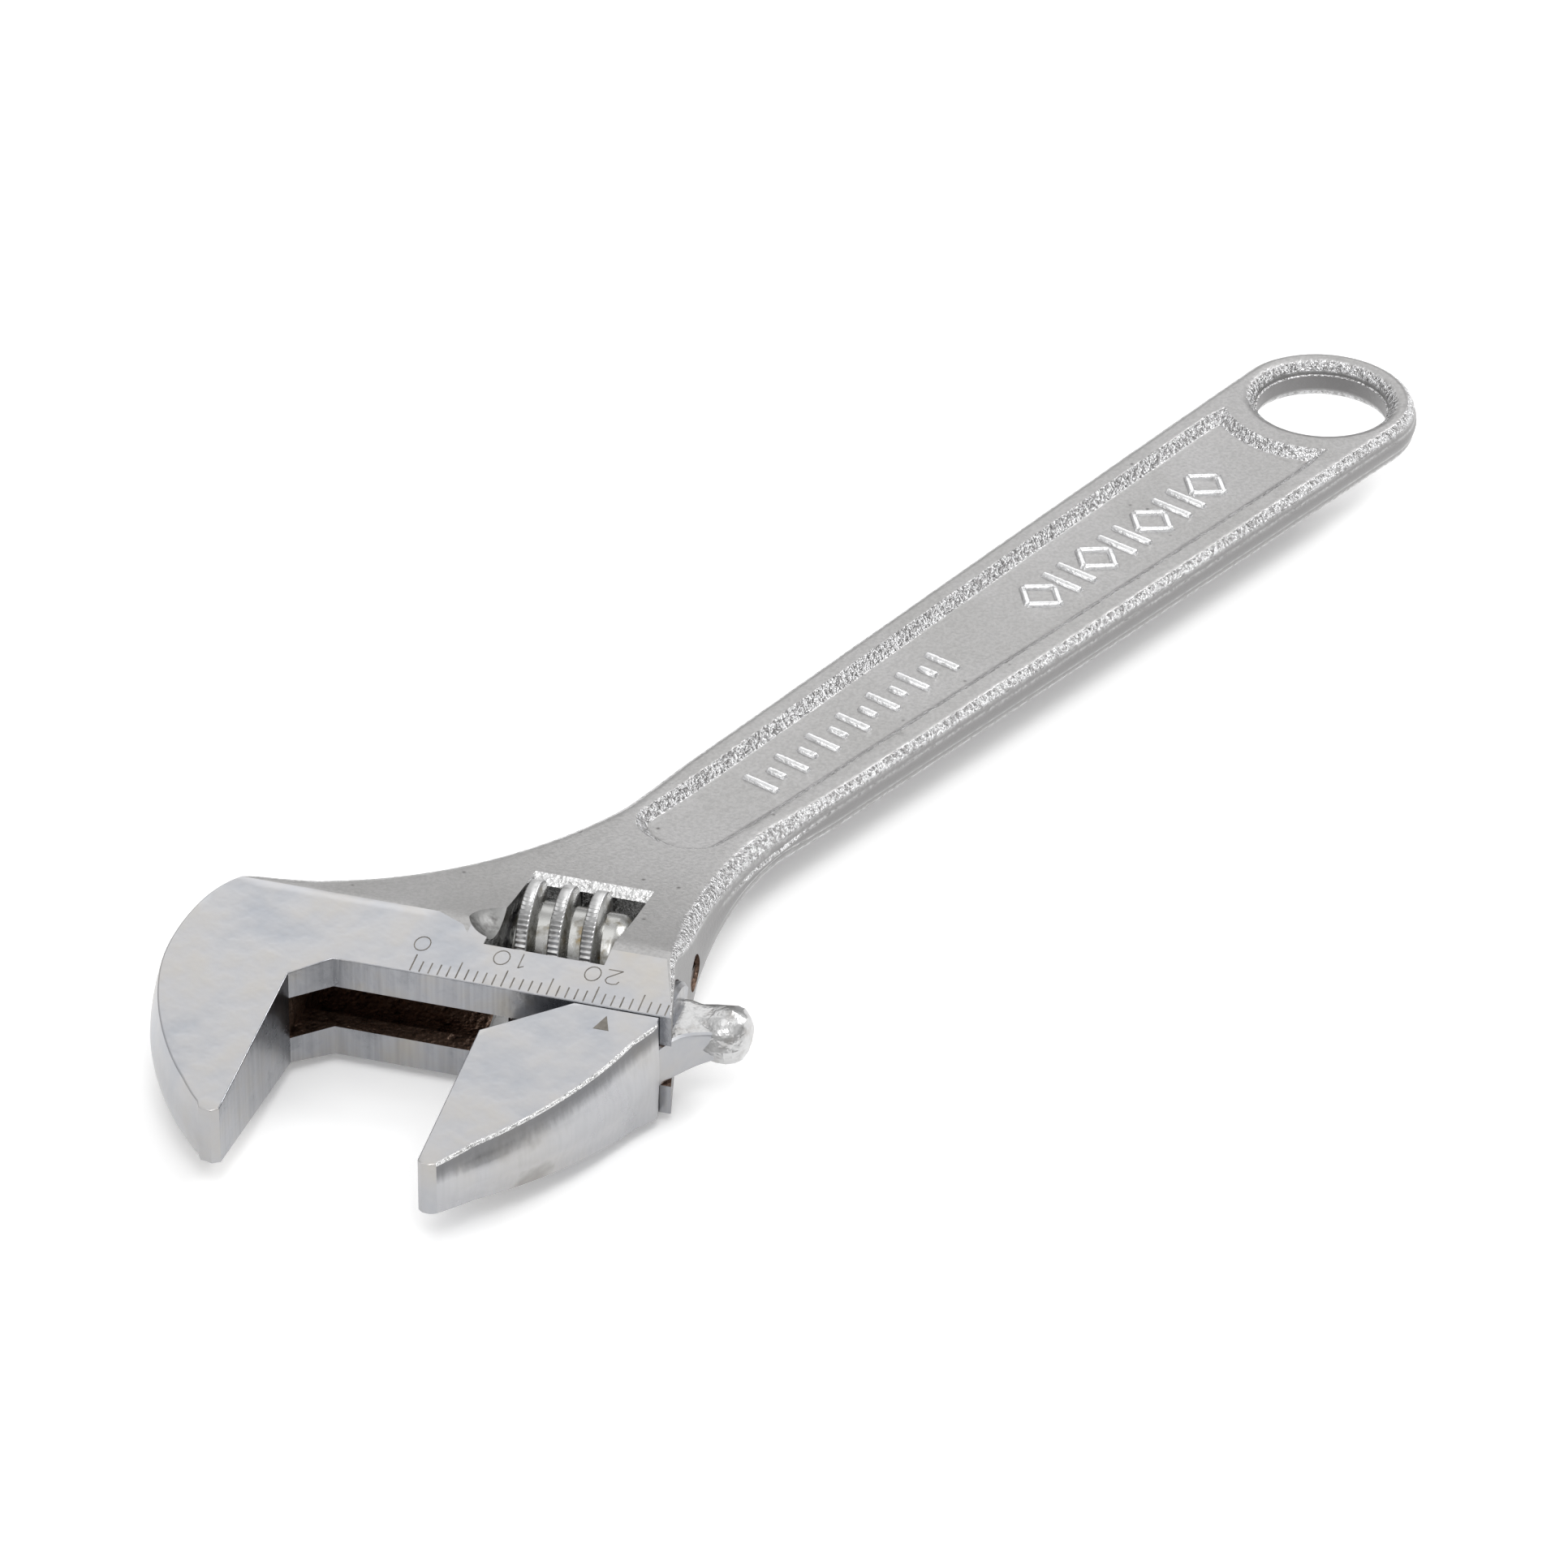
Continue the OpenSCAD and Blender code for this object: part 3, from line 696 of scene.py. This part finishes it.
def makeWeb():
    # flat web that runs in the slot, with a fin that sweeps out to meet the rack's end
    half, rounding, finU = 2.5, 0.7, 27.9
    finStart, finEnd = 3, 16  # first and last point of the fin's edge
    points = [Vector((u, v, 0)) for u, v in ((11, -6), (13, -6), (19, -1), (26.6, -3.6))]
    points += curve((26.9, -3.2), (27.8, 0.4), (29.0, 3.0), (32.6, 4.7), 12)
    points += [Vector((u, v, 0)) for u, v in ((32.6, 4.7), (33.5, 5.4), (34.3, 6.5), (34.3, 8), (11, 8))]
    directions = outwards(points)
    rings = [(-half, 0.6), (-2.3, 0.2), (-1.9, 0.0), (1.9, 0.0), (2.3, 0.2), (half, 0.6)]  # height and inset

    def ringPoint(i, k):
        height, inset = rings[k]
        spot = points[i] - directions[i] * (inset * rounding)
        return Vector((spot.x, spot.y, height))

    bm = bmesh.new()
    first, last = loft(bm, len(points), len(rings), ringPoint,
                       lambda i, k: 1 if finStart <= i <= finEnd else 0)
    caps = cutAcross(bm, capEnds(bm, first, last), Vector((finU, 0, 0)), Vector((1, 0, 0)))
    for face in caps:
        face.material_index = 2 if face.calc_center_median().x > finU else 0
    bmesh.ops.triangulate(bm, faces=[f for f in bm.faces if len(f.verts) > 4])
    for vert in bm.verts:  # the fin thins towards the lug
        vert.co.z *= 1 - 0.5 * min(1.0, max(0.0, (vert.co.x - 29.0) / 5.0))
    bm.transform(jawPlace)
    return finished("webBlank", bm, [milledFace, groundFace, rawPlate])


def makeRack():
    # round rack, with its end forged into a rounded lug that stands out of the head
    rack = rackLook
    start, end, radius, chamfer = rack["startU"], rack["endU"], rack["rackR"], rack["chamfer"]
    profile = [(start, 0), (start, radius - chamfer), (start + chamfer, radius), (end - chamfer, radius),
               (end, radius - chamfer), (end, 0)]
    bm = lathe(profile, 56, Matrix.Translation((0, rack["rackV"], 0)) @ alongU)
    rod = cutter("rackBlank", bm, milledFace)
    tools = []
    lead = math.atan(rack["pitch"] / (2 * math.pi) / (rack["wormR"] - 0.6))
    groove = [(-1.4, 0), (-1.4, 4.9), (-0.85, 7.25), (0.85, 7.25), (1.4, 4.9), (1.4, 0)]
    for n in rack["grooves"]:
        place = Matrix.Translation((rack["meshU"] + n * rack["pitch"], rack["wormV"], 0))
        place = place @ Matrix.Rotation(math.pi / 2 - lead, 4, "Y")
        tools.append(cutter("grooveTool", lathe(groove, 48, place), rawPlate))
    rod = carved(rod, tools)
    return carved(rod, [makeLug()], "UNION")


def makeLug():
    sections = [(26.8, 3.3, 2.5), (28.2, 3.2, 2.4), (29.6, 3.15, 2.4), (31, 3.2, 2.55), (32.2, 3.3, 2.85),
                (33.2, 3.25, 3.0), (34.05, 2.95, 2.8), (34.7, 2.35, 2.25), (35.1, 1.5, 1.4), (35.3, 0.6, 0.5)]
    around, middle, wormSide = 40, 7.3, 9.6  # flat towards the worm, which it passes when the jaw closes

    def ringPoint(i, k):
        u, wide, tall = sections[k]
        turn = 2 * math.pi * i / around
        square = max(1.0, 1.28 - 0.06 * k)
        cosine = math.copysign(abs(math.cos(turn)) ** (1 / square), math.cos(turn))
        sine = math.copysign(abs(math.sin(turn)) ** (1 / square), math.sin(turn))
        spot = Vector((u, middle + wide * cosine, tall * sine))
        lumps = noise.noise(spot * 0.9) * 0.35 + noise.noise(spot * 2.3 + Vector((7, 0, 0))) * 0.16
        seam = 0.22 * math.exp(-(spot.z / 0.35) ** 2) if k > 2 else 0.0  # left along the die's parting line
        swell = 1 + (lumps + seam) / wide * (1 if k < len(sections) - 1 else 0)
        return Vector((u, min(wormSide, middle + (spot.y - middle) * swell), spot.z * swell))

    bm = bmesh.new()
    first, last = loft(bm, around, len(sections), ringPoint)
    capEnds(bm, first, last)
    return cutter("lugBlank", bm, rawPlate)


slidingJaw = evenNormals(makeSlidingJaw(), 24)
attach(slidingJaw, "movable_jaw")
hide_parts("movable_jaw")
print("sliding jaw:", len(slidingJaw.data.polygons), "faces")

wormLook = {"startU": 6.5, "endU": 19.2, "rootR": 4.9, "hubR": 4.1, "boreR": 2.08, "cupR": 3.4,
            "cupDepth": 4.2, "threadStart": 7.3, "threadEnd": 16.8, "knurlsPerTurn": 76, "knurlDepth": 0.2}


def makeWorm():
    look = wormLook
    rack = rackLook
    start, end, root, hub, crest = look["startU"], look["endU"], look["rootR"], look["hubR"], rack["wormR"]
    cupEnd = start + look["cupDepth"]
    profile = [(cupEnd, look["boreR"]), (cupEnd, look["cupR"]), (start, look["cupR"]), (start, hub - 0.2),
               (start + 0.2, hub), (start + 0.75, root), (end - 1.6, root), (end - 1.3, root - 0.06),
               (end - 0.2, hub), (end, hub - 0.25), (end, look["boreR"]), (cupEnd, look["boreR"])]
    barrel = lathe(profile, 72, Matrix.Translation((0, rack["wormV"], 0)) @ alongU)
    barrelPart = cutter("barrelBlank", barrel, wormSteel)
    stepsPerTurn = 2 * look["knurlsPerTurn"]
    count = int((look["threadEnd"] - look["threadStart"]) / rack["pitch"] * stepsPerTurn)
    section = [(-1.15, 4.5), (-1.15, 4.92), (-0.98, 5.15), (-0.68, 6.72), (-0.6, 6.9), (-0.48, crest),
               (0.48, crest), (0.6, 6.9), (0.68, 6.72), (0.98, 5.15), (1.15, 4.92), (1.15, 4.5)]

    def ringPoint(i, k):
        along, radius = section[i]
        u = look["threadStart"] + k * rack["pitch"] / stepsPerTurn
        rise = min(1.0, (u - look["threadStart"] + 0.05) / 0.35, (look["threadEnd"] + 0.1 - u) / 0.6)
        if radius > 5:
            radius = root + (radius - root) * rise
        if radius > 6.85 and k % 2:  # every second step of the crest is a knurl's groove
            radius -= look["knurlDepth"]
        turn = (u - rack["meshU"]) / rack["pitch"] * 2 * math.pi + math.pi
        spot = max(u + along, start + 0.3 + 0.12 * (crest - radius))  # it runs out at the barrel's end
        return Vector((spot, rack["wormV"] + radius * math.cos(turn), radius * math.sin(turn)))

    bm = bmesh.new()
    first, last = loft(bm, len(section), count + 1, ringPoint, lambda i, k: 1 if 4 <= i <= 7 else 0)
    capEnds(bm, first, last)
    bm.transform(jawPlace)
    thread = finished("thread", bm, [wormSteel, knurlSteel], 28)
    return joined("knurledWorm", [barrelPart, thread])


def joined(name, parts):
    # finished parts become one object that keeps all their materials
    bm = bmesh.new()
    materials = []
    for part in parts:
        start = len(bm.faces)
        bm.from_mesh(part.data)
        bm.faces.ensure_lookup_table()
        for item in part.data.materials:
            if item not in materials:
                materials.append(item)
        for face in bm.faces[start:]:
            face.material_index = materials.index(part.data.materials[face.material_index])
        bpy.data.objects.remove(part)
    return finished(name, bm, materials, 40, 1.0)


def platedWorm(look):
    # hardened steel worm, bright plated, with oil and brown dust left in the roots
    made, tree, shader, place = newMaterial(look["name"], look["colour"], look["roughness"])
    smear = addNode(tree, "TexNoise", {"Scale": 1000 / look["smearMm"], "Detail": 4.0, "Roughness": 0.65},
                    {"Vector": place})
    tint = addNode(tree, "ValToRGB",
                   {"stops": [(0.3, look["grime"]), (0.38, look["dull"]), (0.5, look["colour"])]},
                   {"Fac": smear.outputs["Fac"]}).outputs["Color"]
    tree.links.new(tint, shader.inputs["Base Color"])
    rough = addNode(tree, "MapRange", {3: look["roughness"] + 0.15, 4: look["roughness"]},
                    {0: smear.outputs["Fac"]})
    tree.links.new(rough.outputs[0], shader.inputs["Roughness"])
    marks = addNode(tree, "Bump", {"Strength": 0.1, "Distance": 0.0002}, {"Height": smear.outputs["Fac"]})
    tree.links.new(marks.outputs[0], shader.inputs["Normal"])
    return made


wormSteel = platedWorm({"name": "bright plated worm steel", "colour": "#acacaa", "dull": "#84817a",
                       "grime": "#7a6a4c", "roughness": 0.2, "smearMm": 2.2})
knurlSteel = platedWorm({"name": "knurled worm crest", "colour": "#bcbcbc", "dull": "#a9a9a9",
                        "grime": "#979796", "roughness": 0.24, "smearMm": 1.5})
worm = makeWorm()
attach(worm, "worm")
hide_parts("worm")
print("worm:", len(worm.data.polygons), "faces")

turnedSteel = platedWorm({"name": "turned pin steel", "colour": "#9a9a9b", "dull": "#7d7c7a",
                         "grime": "#5c564c", "roughness": 0.34, "smearMm": 1.8})
wireSteel = platedWorm({"name": "drawn spring wire", "colour": "#8f9092", "dull": "#77767a",
                       "grime": "#5e574d", "roughness": 0.3, "smearMm": 1.2})
for nodeName, item in (("worm_pin", turnedSteel), ("worm_spring", wireSteel)):
    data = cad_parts[nodeName].data
    data.materials.clear()
    data.materials.append(item)

scaleLook = {"ticks": 29, "width": 0.15, "lift": 0.02, "sink": 0.06, "startV": 0.3, "longV": 2.8,
             "shortV": 1.9, "lastU": 27.9, "digitV": 4.6, "digitWidth": 0.12}


def bar(bm, start, end, width, low, high):
    # a thin bar between two points of the ground face, in jaw coordinates
    start, end = Vector((start[0], start[1], 0)), Vector((end[0], end[1], 0))
    made = bmesh.ops.create_cube(bm, size=1.0)["verts"]
    along = end - start
    bmesh.ops.scale(bm, vec=(along.length + width * 0.4, width, high - low), verts=made)
    turn = Matrix.Rotation(math.atan2(along.y, along.x), 4, "Z")
    bmesh.ops.transform(bm, matrix=Matrix.Translation((start + end) / 2) @ turn, verts=made)
    for vert in made:
        vert.co.z += groundHalfT(vert.co.y) + (low + high) / 2


def digit(bm, kind, u, v, width):
    # single-line figures, read from the handle's side, so they stand upside down in jaw coordinates
    turns = [math.radians(angle) for angle in range(0, 361, 20)]
    rings = {"0": [(0.85 * math.cos(turn), 1.1 * math.sin(turn)) for turn in turns],
             "1": [(-0.35, 0.75), (0.15, 1.1), (0.15, -1.1)],
             "2": [(-0.75, 0.55), (-0.6, 0.95), (-0.1, 1.1), (0.45, 1.0), (0.72, 0.6), (0.6, 0.15),
                   (-0.75, -1.1), (0.8, -1.1)]}
    spots = [(u - x, v - y) for x, y in rings[kind]]
    for a, b in zip(spots, spots[1:]):
        bar(bm, a, b, width, -scaleLook["sink"], scaleLook["lift"])


def makeScale():
    look = scaleLook
    bm = bmesh.new()
    for n in range(look["ticks"]):
        end = look["shortV"] if n % 5 else look["longV"]
        u = min(n, look["lastU"])  # the last tick stays on the face
        bar(bm, (u, look["startV"]), (u, end), look["width"], -look["sink"], look["lift"])
    for text, u in (("0", 0.0), ("10", 10.0), ("20", 20.0)):
        for k, kind in enumerate(text):
            offset = 0.0 if len(text) == 1 else (1.0 if k == 0 else -1.25)
            digit(bm, kind, u + offset, look["digitV"], look["digitWidth"])
    bm.transform(jawPlace)
    return finished("openingScale", bm, [etched])


etched, etchTree, etchShader, etchPlace = newMaterial("etched line in ground steel", "#77736d", 0.5)
etchNoise = addNode(etchTree, "TexNoise", {"Scale": 900.0, "Detail": 2.0}, {"Vector": etchPlace})
etchTint = addNode(etchTree, "ValToRGB", {"stops": [(0.3, "#66625c"), (0.7, "#8a8680")]},
                   {"Fac": etchNoise.outputs["Fac"]})
etchTree.links.new(etchTint.outputs["Color"], etchShader.inputs["Base Color"])
openingScale = makeScale()
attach(openingScale, "body")


def makePointer():
    bm = bmesh.new()
    corners = [(22.1, -1.3), (21.25, -3.5), (22.95, -3.5)]
    sink, lift = 0.05, 0.02
    verts = [bm.verts.new((u, v, groundHalfT(v) - sink)) for u, v in corners]
    face = bm.faces.new(verts)
    made = bmesh.ops.extrude_face_region(bm, geom=[face])["geom"]
    raised = [g for g in made if isinstance(g, bmesh.types.BMVert)]
    bmesh.ops.translate(bm, vec=(0, 0, sink + lift), verts=raised)
    bm.transform(jawPlace)
    return finished("scalePointer", bm, [etched])


pointer = makePointer()
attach(pointer, "movable_jaw")
print("scale and pointer made")

ornamentLook = {
    "height": 0.46, "stroke": 1.35, "sink": 0.4, "rounding": 0.2,
    "lozenges": 4, "lozengeX": 24.0, "lozengePitch": 10.6, "lozengeHalf": (2.5, 2.7), "gaps": (3.9, 6.7),
    "middleY": 0.3, "bars": 13, "barX": 74.0, "barPitch": 2.7, "barHalf": (2.3, 1.2), "barY": 0.1,
}


def ridge(bm, start, end, side):
    # rounded raised bar standing on the panel's floor
    look = ornamentLook
    start, end = Vector((start[0], start[1], 0)), Vector((end[0], end[1], 0))
    along = end - start
    made = bmesh.ops.create_cube(bm, size=1.0)["verts"]
    foot, crown = along.length + look["stroke"] * 0.5, along.length - look["stroke"] * 0.1
    bmesh.ops.scale(bm, vec=(foot, look["stroke"], 1.0), verts=made)
    top = [v for v in made if v.co.z * side > 0]
    bmesh.ops.scale(bm, vec=(crown / foot, 0.45, 1.0), verts=top)
    turn = Matrix.Rotation(math.atan2(along.y, along.x), 4, "Z")
    bmesh.ops.transform(bm, matrix=Matrix.Translation((start + end) / 2) @ turn, verts=made)
    for vert in made:
        level = faceHalfT(vert.co) - panelDepth
        vert.co.z = side * (level + (look["height"] if vert in top else -look["sink"]))


def makeOrnament():
    look = ornamentLook
    wide, half = look["lozengeHalf"]
    y = look["middleY"]
    bm = bmesh.new()
    for side in (1, -1):
        for n in range(look["lozenges"]):  # open lozenges with two bars between each pair
            x = look["lozengeX"] + look["lozengePitch"] * n
            ring = [(x - wide, y), (x, y + half), (x + wide, y), (x, y - half), (x - wide, y)]
            for a, b in zip(ring, ring[1:]):
                ridge(bm, a, b, side)
            for gap in look["gaps"] if n < look["lozenges"] - 1 else ():
                ridge(bm, (x + gap, y - half), (x + gap, y + half), side)
        for n in range(look["bars"]):  # long and short in turn
            x, reach = look["barX"] + look["barPitch"] * n, look["barHalf"][n % 2]
            ridge(bm, (x, look["barY"] - reach), (x, look["barY"] + reach), side)
    bmesh.ops.bevel(bm, geom=list(bm.edges), offset=look["rounding"], offset_type="OFFSET", affect="EDGES",
                    segments=3, profile=0.5, material=-1)
    return finished("panelOrnament", bm, [raisedPlate])


ornament = makeOrnament()
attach(ornament, "body")
print("panel ornament made")

middle = (0.1, 0, 0)  # about the middle of the wrench
floorGap = 0.0002
floorMesh = bmesh.new()
bmesh.ops.create_grid(floorMesh, x_segments=1, y_segments=1, size=3.0)
bmesh.ops.translate(floorMesh, vec=(middle[0], middle[1], cadBox[0][2] - floorGap), verts=floorMesh.verts)
floorData = bpy.data.meshes.new("studioFloor")
floorMesh.to_mesh(floorData)
floorMesh.free()
floor = bpy.data.objects.new("studioFloor", floorData)
bpy.context.scene.collection.objects.link(floor)
paper = bpy.data.materials.new("matt white studio paper")
paper.use_nodes = True
paperLook = {"Base Color": linear("#fafafa"), "Roughness": 0.9,
             "Emission Color": linear("#ffffff"), "Emission Strength": 0.16}  # the glow lifts it to white
for socket, value in paperLook.items():
    paper.node_tree.nodes["Principled BSDF"].inputs[socket].default_value = value
floorData.materials.append(paper)


def softbox(name, position, size, power):
    data = bpy.data.lights.new(name, "AREA")
    data.shape, data.size, data.size_y = "RECTANGLE", size[0], size[1]
    data.energy = power
    lamp = bpy.data.objects.new(name, data)
    lamp.location = position
    lamp.rotation_euler = (Vector(middle) - Vector(position)).to_track_quat("-Z", "Y").to_euler()
    bpy.context.scene.collection.objects.link(lamp)


softbox("overhead", (0.1, 0.0, 1.5), (1.0, 1.0), 2.6)
softbox("farSide", (-0.83, -0.78, 0.84), (1.0, 0.6), 1.6)
softbox("leftSide", (-0.9, 0.42, 0.95), (0.5, 0.45), 6.0)
softbox("nearTop", (0.72, 0.5, 1.22), (0.45, 0.45), 4.0)
softbox("rightSide", (1.3, -0.6, 0.7), (0.5, 0.5), 1.2)

world = bpy.data.worlds.new("studio")
bpy.context.scene.world = world
world.use_nodes = True
sky = world.node_tree
direction = addNode(sky, "TexCoord").outputs["Generated"]
climb = addNode(sky, "SeparateXYZ", links={0: direction}).outputs["Z"]
shade = addNode(sky, "ValToRGB", {"stops": [(0.0, 0.4), (0.1, 0.3), (0.28, 0.6), (0.6, 0.85), (1.0, 1.0)]},
                {"Fac": climb}).outputs["Color"]  # a dim horizon under a bright ceiling
sky.links.new(shade, sky.nodes["Background"].inputs["Color"])
sky.nodes["Background"].inputs["Strength"].default_value = 0.95

cameraLook = {"lens": 165.33, "location": (0.61955, 0.41188, 0.4434), "turn": (56.1133, -0.7059, 129.0022)}
cameraData = bpy.data.cameras.new("studioCamera")
cameraData.lens, cameraData.sensor_width = cameraLook["lens"], 36.0
cameraData.clip_start, cameraData.clip_end = 0.05, 20.0
camera = bpy.data.objects.new("studioCamera", cameraData)
camera.location = cameraLook["location"]
camera.rotation_euler = [math.radians(angle) for angle in cameraLook["turn"]]
bpy.context.scene.collection.objects.link(camera)
bpy.context.scene.camera = camera
bpy.context.scene.view_settings.view_transform = "Standard"
print("stage, lights and camera set")
